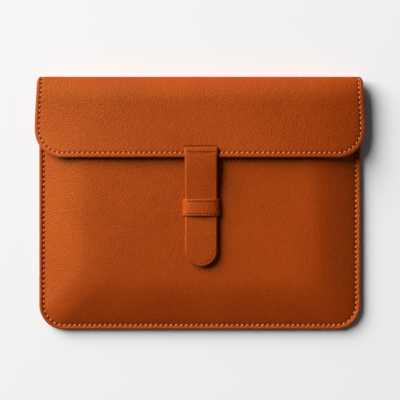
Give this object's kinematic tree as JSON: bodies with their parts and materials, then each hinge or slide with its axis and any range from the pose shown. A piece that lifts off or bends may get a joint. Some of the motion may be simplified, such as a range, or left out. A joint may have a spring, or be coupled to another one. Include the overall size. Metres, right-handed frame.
{
  "type": "laptop sleeve",
  "caption": "Padded leather sleeve for a slim laptop, with a folded flap and a round-tipped strap that tucks through a keeper on the front.",
  "frame": {"origin": "middle of the footprint, on the surface that the back lies on", "axes": "+X along the width, +Y from the bottom edge to the fold, +Z out of the front"},
  "size_m": [0.352, 0.2736, 0.0297],
  "materials": {
    "tan_leather": "fine pebbled grain, semi-matte",
    "under_leather": "smooth, matte",
    "lining": "short-nap microfibre",
    "padding": "soft closed-cell foam, matte",
    "board": "matte",
    "seam_thread": "waxed thread",
    "fine_thread": "waxed thread"
  },
  "bodies": {
    "pouch": {"back_panel": "tan_leather", "back_padding": "padding", "back_lining": "lining", "front_panel": "tan_leather", "front_padding": "padding", "front_lining": "lining", "front_seam_stitches": "seam_thread", "back_seam_stitches": "seam_thread", "mouth_stitches": "fine_thread", "keeper_band": "tan_leather", "keeper_lining": "under_leather", "keeper_stitches": "fine_thread", "back_fold_leather": "tan_leather", "back_fold_lining": "lining"},
    "spine": {"spine_leather": "tan_leather", "spine_lining": "lining", "spine_stitches": "seam_thread", "front_fold_leather": "tan_leather", "front_fold_lining": "lining"},
    "flap": {"flap_leather": "tan_leather", "flap_board": "board", "flap_lining": "lining", "flap_stitches": "seam_thread", "flap_inner_stitches": "seam_thread", "strap_root_leather": "tan_leather", "strap_root_lining": "under_leather", "strap_anchor_stitches": "fine_thread"},
    "strap": {"strap_leather": "tan_leather", "strap_lining": "under_leather", "strap_tip_stitches": "fine_thread"}
  },
  "joints": [
    {"name": "back_fold", "type": "hinge", "parent": "pouch", "child": "spine", "pos_m": [0, 0.1349, 0.0019], "axis": [-1, 0, 0], "range_deg": [0, 90], "deforming": ["back_fold_leather", "back_fold_lining"]},
    {"name": "front_fold", "type": "hinge", "parent": "spine", "child": "flap", "pos_m": [0, 0.1349, 0.0241], "axis": [-1, 0, 0], "range_deg": [0, 87], "deforming": ["front_fold_leather", "front_fold_lining"]},
    {"name": "strap_lift", "type": "hinge", "parent": "flap", "child": "strap", "pos_m": [0, 0.0514, 0.0291], "axis": [1, 0, 0], "range_deg": [-100, 0], "deforming": ["keeper_band", "keeper_lining", "keeper_stitches"]}
  ]
}
